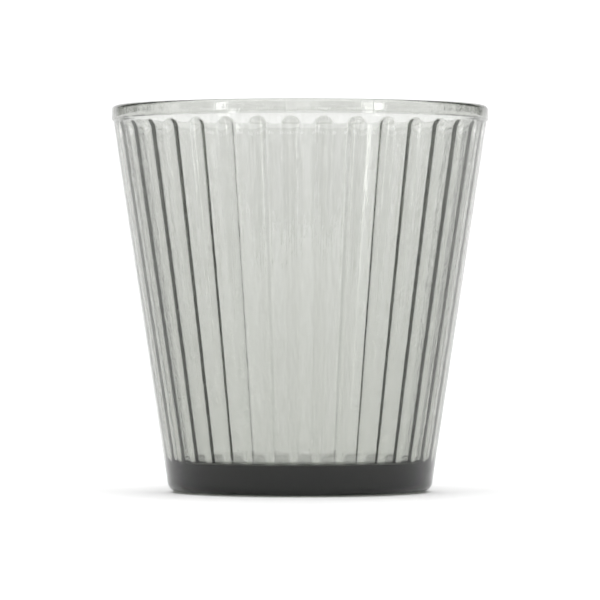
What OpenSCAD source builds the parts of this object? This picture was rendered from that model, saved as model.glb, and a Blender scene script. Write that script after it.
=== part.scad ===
// Whiskey tumbler of pressed glass. It is one casting: a thick base, a tapered wall that is
// smooth outside and ribbed inside, and a smooth lip band above the ribs. The three regions are
// drawn as solids that meet face to face.
// Origin: the middle of the circle that the glass stands on. +Z is up, and a rib lies on +X.

/* [Outside] */
// Height from the table to the top of the lip
height = 90; // [84:1:100]
// Diameter of the lip band, the widest place
lip_d = 88; // [87.6:0.1:90]
// Diameter of the straight side just under the lip band
side_top_d = 87.2; // [86:0.1:87.4]
// Diameter that the straight side would have at the table
foot_d = 61.4; // [56:0.2:68]
// Radius of the rounded edge between the side and the underside
foot_edge_r = 2.4; // [1:0.1:3]

/* [Lip band] */
// Height of the smooth band at the top
band_h = 3.8; // [3.4:0.1:6]
// Thickness of the lip, which has a full round on top
lip_t = 2; // [1.8:0.1:3]

/* [Ribs] */
// Number of ribs inside the wall
rib_count = 35; // [30:1:38]
// Height of a rib above the wall between the ribs, at its top
rib_h = 0.6; // [0.4:0.05:0.7]
// Width of a rib at its top
rib_w = 3.8; // [3.4:0.1:4.4]

/* [Glass thickness] */
// Wall between the ribs at the height of the cavity floor
wall_foot_t = 3.8; // [2.8:0.1:4.5]
// Solid base, from the table to the cavity floor
base_t = 7; // [5:0.5:12]
// Radius of the corner between the cavity floor and the wall
floor_corner_r = 1.5; // [1:0.1:3]

/* [Underside] */
// Width of the flat ring that the glass stands on
stand_w = 2.2; // [1.5:0.1:4]
// Depth of the hollow inside that ring
hollow_h = 0.8; // [0.4:0.1:1.5]
// Radial length of the slope from the ring up into the hollow
hollow_slope = 3; // [2:0.5:6]

/* [Hidden] */
$fn = 180;
rod_fn = 48;
glass_color = [0.56, 0.58, 0.54];
over = 1;                    // how far a cutting shape runs past what it cuts

band_z = height - band_h;    // foot of the lip band
base_top_z = base_t + floor_corner_r;
lip_r = lip_t / 2;
lip_c = [lip_d / 2 - lip_r, height - lip_r];

// The straight side lies on a cone: its radius at height z
side_slope = (side_top_d - foot_d) / 2 / band_z;
function side_r(z) = foot_d / 2 + side_slope * z;
side_angle = atan(side_slope);

// The cavity is a cone from the floor's corner to the tangent point on the lip's round
floor_wall_r = side_r(base_t) - wall_foot_t;
cavity_slope = (lip_c[0] - lip_r - floor_wall_r) / (lip_c[1] - base_t);
cavity_angle = atan(cavity_slope);
function cavity_r(z) = floor_wall_r + cavity_slope * (z - base_t);

// A rib is a tapered rod let into the wall, with a ball end under the lip band
rib_top_r = (rib_w * rib_w / 4 + rib_h * rib_h) / (2 * rib_h);
rib_top_z = band_z - rib_w / 2;
rod_ratio = rib_top_r / cavity_r(rib_top_z);
crest_ratio = 1 - rib_h / cavity_r(rib_top_z);
rod_z0 = base_t / 2;
function rod_r(z) = cavity_r(z) * rod_ratio;
function rod_axis_r(z) = cavity_r(z) * (crest_ratio + rod_ratio);

stand_r1 = side_r(foot_edge_r) - foot_edge_r / cos(side_angle);
stand_r0 = stand_r1 - stand_w;

// A point on a circle of radius r round c, at angle a
function on_circle(c, r, a) = c + r * [cos(a), sin(a)];

// Outline of the base and the wall as solid glass, from the axis out
module body_outline() {
    foot_c = [stand_r1, foot_edge_r];
    polygon([
        [0, 0],
        [stand_r1, 0],
        on_circle(foot_c, foot_edge_r, -side_angle),
        [side_r(band_z), band_z],
        [0, band_z]
    ]);
    translate(foot_c) circle(r = foot_edge_r);
}

// Outline of the lip band, which stands out from the side by a small slope
module band_outline() {
    polygon([
        [cavity_r(band_z), band_z],
        [side_r(band_z), band_z],
        [lip_d / 2, band_z + lip_d / 2 - side_r(band_z)],
        [lip_d / 2, lip_c[1]],
        [lip_c[0] - lip_r, lip_c[1]]
    ]);
    translate(lip_c) circle(r = lip_r);
}

// Outline of the space inside the base and the wall, from the axis out
module cavity_outline() {
    corner_c = [cavity_r(base_top_z) - floor_corner_r / cos(cavity_angle), base_top_z];
    polygon([
        [0, base_t],
        [corner_c[0], base_t],
        on_circle(corner_c, floor_corner_r, -cavity_angle),
        [cavity_r(height), height],
        [0, height]
    ]);
    translate(corner_c) circle(r = floor_corner_r);
}

// Outline of the hollow inside the standing ring
module hollow_outline() {
    polygon([
        [0, -over],
        [stand_r0, -over],
        [stand_r0, 0],
        [stand_r0 - hollow_slope, hollow_h],
        [0, hollow_h]
    ]);
}

module rib_rod() {
    lean = atan((rod_axis_r(rib_top_z) - rod_axis_r(rod_z0)) / (rib_top_z - rod_z0));
    translate([rod_axis_r(rod_z0), 0, rod_z0])
        rotate([0, lean, 0])
            cylinder(
                h = (rib_top_z - rod_z0) / cos(lean),
                r1 = rod_r(rod_z0),
                r2 = rib_top_r,
                $fn = rod_fn
            );
    translate([rod_axis_r(rib_top_z), 0, rib_top_z]) sphere(r = rib_top_r, $fn = rod_fn);
}

module ribs() {
    for (i = [0:rib_count - 1])
        rotate([0, 0, i * 360 / rib_count]) rib_rod();
}

// The ribbed glass between two heights: the ribs are what the cavity leaves standing
module ribbed_glass(z0, z1) {
    difference() {
        intersection() {
            rotate_extrude() body_outline();
            translate([0, 0, z0]) cylinder(h = z1 - z0, r = lip_d);
        }
        difference() {
            rotate_extrude() cavity_outline();
            ribs();
        }
        rotate_extrude() hollow_outline();
    }
}

// Smooth lip band with a full round on top
module rim() {
    color(glass_color) rotate_extrude() band_outline();
}

// Tapered wall, smooth outside and ribbed inside
module ribbed_wall() {
    color(glass_color) ribbed_glass(base_top_z, band_z);
}

// Thick base, up to the top of the cavity's corner round
module base() {
    color(glass_color) ribbed_glass(-over, base_top_z);
}

rim();
ribbed_wall();
base();
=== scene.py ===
# Whiskey tumbler of pressed smoke-grey glass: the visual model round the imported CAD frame.
# The tumbler is one casting, so one closed glass surface stands for the three CAD regions.
# Metres, +Z up along the glass's axis, a rib on +X.
import math

import bpy
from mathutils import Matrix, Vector


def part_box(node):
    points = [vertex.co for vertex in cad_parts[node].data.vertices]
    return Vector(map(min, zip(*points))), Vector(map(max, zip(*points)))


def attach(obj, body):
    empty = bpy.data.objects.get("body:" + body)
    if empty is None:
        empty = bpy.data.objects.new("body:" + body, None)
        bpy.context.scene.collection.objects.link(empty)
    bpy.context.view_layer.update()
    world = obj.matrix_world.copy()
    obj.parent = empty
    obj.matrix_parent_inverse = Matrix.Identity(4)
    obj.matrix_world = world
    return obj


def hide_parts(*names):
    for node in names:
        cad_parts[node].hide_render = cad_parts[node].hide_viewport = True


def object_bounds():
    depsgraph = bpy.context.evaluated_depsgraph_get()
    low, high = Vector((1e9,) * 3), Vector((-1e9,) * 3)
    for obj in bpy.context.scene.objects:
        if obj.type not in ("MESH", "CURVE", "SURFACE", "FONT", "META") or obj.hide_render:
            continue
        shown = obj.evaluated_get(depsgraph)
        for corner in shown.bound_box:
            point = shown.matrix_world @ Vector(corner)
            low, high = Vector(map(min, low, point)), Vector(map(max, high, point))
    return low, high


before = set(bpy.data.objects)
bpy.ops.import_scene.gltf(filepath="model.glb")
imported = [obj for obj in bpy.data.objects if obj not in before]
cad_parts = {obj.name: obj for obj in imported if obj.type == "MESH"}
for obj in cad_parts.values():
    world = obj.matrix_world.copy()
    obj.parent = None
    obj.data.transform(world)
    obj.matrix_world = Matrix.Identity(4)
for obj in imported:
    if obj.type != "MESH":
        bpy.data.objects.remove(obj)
cad_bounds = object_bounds()

MM = 0.001

# Sizes that the CAD regions' boxes give
cad_high = cad_bounds[1]
HEIGHT = cad_high[2]
LIP_R = cad_high[0]
BAND_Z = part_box("rim")[0][2]
BASE_TOP_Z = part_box("base")[1][2]
SIDE_TOP_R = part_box("ribbed_wall")[1][0]
SIDE_LOW_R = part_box("base")[1][0]

# Sizes inside those boxes
FOOT_EDGE_R = 2.4 * MM
LIP_T = 2.0 * MM
FLOOR_CORNER_R = 1.5 * MM
WALL_FOOT_T = 3.8 * MM
STAND_W = 2.2 * MM
HOLLOW_H = 0.8 * MM
HOLLOW_SLOPE = 3 * MM
RIB_COUNT = 35
RIB_H = 0.6 * MM
RIB_W = 3.8 * MM
RIB_FILLET = 0.1 * MM       # rounding between a rib and the wall

# Mesh columns across a rib and between two ribs
COLUMNS_ON_RIB = 17
COLUMNS_BETWEEN = 5
RIB_MARGIN = 1.12           # the close columns run this far past a rib's edges

# Glass: absorption per metre, its colour, and the drag marks' noise
GLASS_IOR = 1.52
TINT_COLOR = (0.515, 0.53, 0.485, 1)
TINT_DENSITY = 215
STREAK_SCALE = (1500, 1500, 5)
STREAK_DEPTH = 0.00004
STREAK_SHADE = (0.93, 0.935, 0.925, 1)

# Studio: brightness of the windows, of the corners between them and of the ceiling
SIDE_LIGHT = 1.12
CORNER_LIGHT = 0.02
CEILING_LIGHT = 2.95
# Half widths of the back window and of the four side windows, and their soft edges, in degrees
BACK_HALF, BACK_FADE = 26, 12
WINDOW_HALF, WINDOW_FADE = 7, 7
# Heights above the horizon where the ceiling begins and is full, in degrees
CEILING_FROM, CEILING_FULL = 42, 62
SOFTBOX_TURN = 48
SOFTBOX_DISTANCE = 1.2
SOFTBOX_SIZE = (0.14, 0.9)
SOFTBOX_HEIGHT = 0.3
SOFTBOX_POWER = 3

# Floor
FLOOR_REACH = 8.0
FLOOR_LEVEL = -0.0002

# Camera: metres, degrees and millimetres; heights are shares of the glass's height
CAMERA_DISTANCE = 1.084
CAMERA_TURN = 0.3
CAMERA_HEIGHT = 0.508
CAMERA_AIM = 0.496
CAMERA_SENSOR = 36
CAMERA_LENS = 278.1

FLOOR_Z = BASE_TOP_Z - FLOOR_CORNER_R

# The straight side and the cavity are cones
SIDE_SLOPE = (SIDE_TOP_R - SIDE_LOW_R) / (BAND_Z - BASE_TOP_Z)
SIDE_ANGLE = math.atan(SIDE_SLOPE)
LIP_ROUND = LIP_T / 2
LIP_CENTRE = (LIP_R - LIP_ROUND, HEIGHT - LIP_ROUND)


def side_r(z):
    """Radius of the straight side at height z."""
    return SIDE_TOP_R + SIDE_SLOPE * (z - BAND_Z)


CAVITY_FLOOR_R = side_r(FLOOR_Z) - WALL_FOOT_T
CAVITY_SLOPE = (LIP_R - LIP_T - CAVITY_FLOOR_R) / (LIP_CENTRE[1] - FLOOR_Z)
CAVITY_ANGLE = math.atan(CAVITY_SLOPE)


def cavity_r(z):
    """Radius of the cavity between the ribs at height z."""
    return CAVITY_FLOOR_R + CAVITY_SLOPE * (z - FLOOR_Z)


RIB_TOP_R = (RIB_W * RIB_W / 4 + RIB_H * RIB_H) / (2 * RIB_H)
RIB_TOP_Z = BAND_Z - RIB_W / 2


def steps(start, end, count):
    """count values from start to end, both included."""
    return [start + (end - start) * i / (count - 1) for i in range(count)]


def arc(centre, radius, start, end, count):
    """Points (r, z) on a circle in the section, angles in degrees."""
    return [
        (centre[0] + radius * math.cos(math.radians(a)),
         centre[1] + radius * math.sin(math.radians(a)))
        for a in steps(start, end, count)
    ]


def rib_rise(angle, z):
    """How far the rib nearest to this angle stands out from the cavity's cone at height z."""
    pitch = 2 * math.pi / RIB_COUNT
    off = (angle + pitch / 2) % pitch - pitch / 2
    wall = cavity_r(z)
    scale = wall / cavity_r(RIB_TOP_Z)
    across = wall * math.sin(off)
    rod = RIB_TOP_R * min(scale, 1)
    above = max(z - RIB_TOP_Z, 0)
    rise = math.sqrt(max(rod * rod - across * across - above * above, 0)) - rod
    rise += RIB_H * min(scale, 1)
    return (rise + math.sqrt(rise * rise + RIB_FILLET * RIB_FILLET)) / 2 if rise > -RIB_W else 0


def outer_section():
    """The outline (r, z) from the middle of the underside, round the foot, up to the lip."""
    stand_r1 = side_r(FOOT_EDGE_R) - FOOT_EDGE_R / math.cos(SIDE_ANGLE)
    stand_r0 = stand_r1 - STAND_W
    hollow_r = stand_r0 - HOLLOW_SLOPE
    points = [(r, HOLLOW_H) for r in steps(0, hollow_r, 6)[1:]]
    for q in steps(0, 1, 9)[1:]:
        ease = (1 + math.cos(math.pi * q)) / 2
        points.append((hollow_r + HOLLOW_SLOPE * q, HOLLOW_H * ease))
    points.append((stand_r0 + STAND_W / 2, 0))
    low_angle = -math.degrees(SIDE_ANGLE)
    points += arc((stand_r1, FOOT_EDGE_R), FOOT_EDGE_R, -90, low_angle, 12)
    points += [(side_r(z), z) for z in steps(points[-1][1] + 0.5 * MM, BAND_Z - 0.1 * MM, 18)]
    proud = LIP_R - side_r(BAND_Z)
    points.append((side_r(BAND_Z) + 0.1 * proud, BAND_Z + 0.1 * proud))
    points.append((LIP_R - 0.1 * proud, BAND_Z + 0.9 * proud))
    points.append((LIP_R, BAND_Z + 1.3 * proud))
    return points + arc(LIP_CENTRE, LIP_ROUND, 0, 180, 17)


def inner_heights():
    """Heights of the rows down the cavity's wall, close together at the ribs' ends."""
    rib_end = RIB_TOP_Z - 1 * MM
    return (
        steps(LIP_CENTRE[1] - 0.6 * MM, BAND_Z + 0.2 * MM, 4)
        + steps(BAND_Z, rib_end, 22)
        + steps(rib_end - 1.5 * MM, BASE_TOP_Z + 1 * MM, 20)
    )


def column_angles():
    """Angles of the columns round the glass: close together across each rib."""
    pitch = 2 * math.pi / RIB_COUNT
    rib_half = math.asin(RIB_W / 2 / cavity_r(RIB_TOP_Z)) * RIB_MARGIN
    across = steps(-rib_half, rib_half, COLUMNS_ON_RIB)
    between = steps(rib_half, pitch - rib_half, COLUMNS_BETWEEN + 2)[1:-1]
    return [k * pitch + offset for k in range(RIB_COUNT) for offset in across + between]


def build_glass():
    """The closed surface of the whole tumbler."""
    corner = (cavity_r(BASE_TOP_Z) - FLOOR_CORNER_R / math.cos(CAVITY_ANGLE), BASE_TOP_Z)
    rows = [("smooth", r, z) for r, z in outer_section()]
    rows += [("ribbed", cavity_r(z), z) for z in inner_heights()]
    for r, z in arc(corner, FLOOR_CORNER_R, -math.degrees(CAVITY_ANGLE), -90, 12):
        rows.append(("corner", r, z))
    rows += [("smooth", r, FLOOR_Z) for r in steps(corner[0], 0, 7)[1:-1]]

    angles = column_angles()
    columns = len(angles)
    verts = []
    for kind, r, z in rows:
        fade = 1
        if kind == "corner":
            fade = max((z - FLOOR_Z) / FLOOR_CORNER_R, 0)
        for a in angles:
            here = r if kind == "smooth" else r - fade * rib_rise(a, z)
            verts.append((here * math.cos(a), here * math.sin(a), z))
    faces = []
    for i in range(len(rows) - 1):
        for j in range(columns):
            k = (j + 1) % columns
            low, high = i * columns, (i + 1) * columns
            faces.append((low + j, low + k, high + k, high + j))
    under, inside = len(verts), len(verts) + 1
    verts += [(0, 0, HOLLOW_H), (0, 0, FLOOR_Z)]
    last = (len(rows) - 1) * columns
    for j in range(columns):
        k = (j + 1) % columns
        faces.append((under, k, j))
        faces.append((inside, last + j, last + k))

    mesh = bpy.data.meshes.new("tumbler_glass")
    mesh.from_pydata(verts, [], faces)
    mesh.polygons.foreach_set("use_smooth", [True] * len(faces))
    mesh.update()
    glass = bpy.data.objects.new("tumbler_glass", mesh)
    bpy.context.scene.collection.objects.link(glass)
    return glass


def smoke_glass():
    """Tinted through its thickness, with the faint vertical drag marks of a pressing mould."""
    material = bpy.data.materials.new("smoke_glass")
    material.use_nodes = True
    tree = material.node_tree
    nodes, links = tree.nodes, tree.links
    shader = nodes["Principled BSDF"]
    shader.inputs["Base Color"].default_value = (1, 1, 1, 1)
    shader.inputs["Roughness"].default_value = 0.0
    shader.inputs["IOR"].default_value = GLASS_IOR
    shader.inputs["Transmission Weight"].default_value = 1.0

    tint = nodes.new("ShaderNodeVolumeAbsorption")
    tint.inputs["Color"].default_value = TINT_COLOR
    tint.inputs["Density"].default_value = TINT_DENSITY
    links.new(tint.outputs["Volume"], nodes["Material Output"].inputs["Volume"])

    # Long vertical streaks: noise squeezed round the glass and stretched along it
    place = nodes.new("ShaderNodeTexCoord")
    stretch = nodes.new("ShaderNodeMapping")
    stretch.inputs["Scale"].default_value = STREAK_SCALE
    streaks = nodes.new("ShaderNodeTexNoise")
    streaks.inputs["Scale"].default_value = 1.0
    streaks.inputs["Detail"].default_value = 3.0
    marks = nodes.new("ShaderNodeValToRGB")
    marks.color_ramp.elements[0].position = 0.3
    marks.color_ramp.elements[0].color = STREAK_SHADE
    marks.color_ramp.elements[1].position = 0.62
    marks.color_ramp.elements[1].color = (1, 1, 1, 1)
    bump = nodes.new("ShaderNodeBump")
    bump.inputs["Strength"].default_value = 0.5
    bump.inputs["Distance"].default_value = STREAK_DEPTH
    links.new(place.outputs["Object"], stretch.inputs["Vector"])
    links.new(stretch.outputs["Vector"], streaks.inputs["Vector"])
    links.new(streaks.outputs["Fac"], marks.inputs["Fac"])
    links.new(marks.outputs["Color"], shader.inputs["Base Color"])
    links.new(streaks.outputs["Fac"], bump.inputs["Height"])
    links.new(bump.outputs["Normal"], shader.inputs["Normal"])
    return material


def pale_floor():
    """Matt and nearly white, with a very faint unevenness."""
    material = bpy.data.materials.new("pale_floor")
    material.use_nodes = True
    tree = material.node_tree
    shader = tree.nodes["Principled BSDF"]
    shader.inputs["Roughness"].default_value = 0.7
    shader.inputs["Specular IOR Level"].default_value = 0.2
    noise = tree.nodes.new("ShaderNodeTexNoise")
    noise.inputs["Scale"].default_value = 3.0
    ramp = tree.nodes.new("ShaderNodeValToRGB")
    ramp.color_ramp.elements[0].color = (0.86, 0.86, 0.86, 1)
    ramp.color_ramp.elements[1].color = (0.9, 0.9, 0.9, 1)
    tree.links.new(noise.outputs["Fac"], ramp.inputs["Fac"])
    tree.links.new(ramp.outputs["Color"], shader.inputs["Base Color"])
    return material


def build_floor():
    """A square just under the standing ring."""
    mesh = bpy.data.meshes.new("floor")
    corners = [(-1, -1), (1, -1), (1, 1), (-1, 1)]
    verts = [(x * FLOOR_REACH, y * FLOOR_REACH, FLOOR_LEVEL) for x, y in corners]
    mesh.from_pydata(verts, [], [(0, 1, 2, 3)])
    floor = bpy.data.objects.new("floor", mesh)
    bpy.context.scene.collection.objects.link(floor)
    floor.data.materials.append(pale_floor())
    return floor


def studio_world():
    """A white studio: a wide back window, four narrow ones, dark corners, a bright ceiling."""
    world = bpy.data.worlds.new("studio")
    bpy.context.scene.world = world
    world.use_nodes = True
    tree = world.node_tree
    nodes, links = tree.nodes, tree.links
    background = nodes["Background"]
    background.inputs["Color"].default_value = (1, 1, 1, 1)

    def math_node(operation, a, b=None):
        node = nodes.new("ShaderNodeMath")
        node.operation = operation
        for socket, value in zip(node.inputs, (a, b)):
            if value is None:
                continue
            if isinstance(value, (int, float)):
                socket.default_value = value
            else:
                links.new(value, socket)
        return node.outputs[0]

    def smooth_range(value, low, high, at_low, at_high):
        node = nodes.new("ShaderNodeMapRange")
        node.interpolation_type = "SMOOTHSTEP"
        node.inputs["From Min"].default_value = low
        node.inputs["From Max"].default_value = high
        node.inputs["To Min"].default_value = at_low
        node.inputs["To Max"].default_value = at_high
        links.new(value, node.inputs["Value"])
        return node.outputs[0]

    place = nodes.new("ShaderNodeTexCoord")
    split = nodes.new("ShaderNodeSeparateXYZ")
    links.new(place.outputs["Generated"], split.inputs[0])
    # Angles from the wide window behind the glass, and from the nearest of the four sides
    azimuth = math_node("ARCTAN2", split.outputs["X"], split.outputs["Y"])
    from_back = math_node("ABSOLUTE", azimuth)
    quarter = math.pi / 2
    turned = math_node("ADD", azimuth, math.pi * 2 + quarter / 2)
    inside = math_node("MODULO", turned, quarter)
    from_side = math_node("ABSOLUTE", math_node("SUBTRACT", inside, quarter / 2))
    back_light = smooth_range(from_back, math.radians(BACK_HALF),
                              math.radians(BACK_HALF + BACK_FADE), SIDE_LIGHT, CORNER_LIGHT)
    side_light = smooth_range(from_side, math.radians(WINDOW_HALF),
                              math.radians(WINDOW_HALF + WINDOW_FADE), SIDE_LIGHT, CORNER_LIGHT)
    wall_light = math_node("MAXIMUM", back_light, side_light)
    ceiling = smooth_range(split.outputs["Z"], math.sin(math.radians(CEILING_FROM)),
                           math.sin(math.radians(CEILING_FULL)), 0, 1)
    sky = math_node("MULTIPLY", ceiling, CEILING_LIGHT)
    wall = math_node("MULTIPLY", wall_light, math_node("SUBTRACT", 1, ceiling))
    links.new(math_node("ADD", sky, wall), background.inputs["Strength"])


def softbox(name, azimuth):
    """An upright soft light that faces the glass. Azimuth 0 stands in front, on -Y."""
    light = bpy.data.lights.new(name, "AREA")
    light.shape = "RECTANGLE"
    light.size, light.size_y = SOFTBOX_SIZE
    light.energy = SOFTBOX_POWER
    lamp = bpy.data.objects.new(name, light)
    bpy.context.scene.collection.objects.link(lamp)
    a = math.radians(azimuth)
    lamp.location = (
        SOFTBOX_DISTANCE * math.sin(a), -SOFTBOX_DISTANCE * math.cos(a), SOFTBOX_HEIGHT
    )
    aim = Vector((0, 0, HEIGHT / 2)) - lamp.location
    lamp.rotation_euler = aim.to_track_quat("-Z", "Y").to_euler()


def build_camera():
    """At half the glass's height, and far enough back to flatten the rims."""
    turn = math.radians(CAMERA_TURN)
    camera = bpy.data.cameras.new("camera")
    eye = bpy.data.objects.new("camera", camera)
    bpy.context.scene.collection.objects.link(eye)
    eye.location = (
        CAMERA_DISTANCE * math.sin(turn),
        -CAMERA_DISTANCE * math.cos(turn),
        CAMERA_HEIGHT * HEIGHT,
    )
    aim = Vector((0, 0, CAMERA_AIM * HEIGHT)) - eye.location
    eye.rotation_euler = aim.to_track_quat("-Z", "Y").to_euler()
    camera.sensor_width = CAMERA_SENSOR
    camera.lens = CAMERA_LENS
    bpy.context.scene.camera = eye


glass = build_glass()
glass.data.materials.append(smoke_glass())
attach(glass, "root")
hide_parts("rim", "ribbed_wall", "base")

build_floor()
studio_world()
softbox("softbox_left", -SOFTBOX_TURN)
softbox("softbox_right", SOFTBOX_TURN)
build_camera()

scene = bpy.context.scene
scene.view_settings.view_transform = "Standard"
scene.cycles.max_bounces = 32
scene.cycles.transmission_bounces = 32
scene.cycles.glossy_bounces = 16
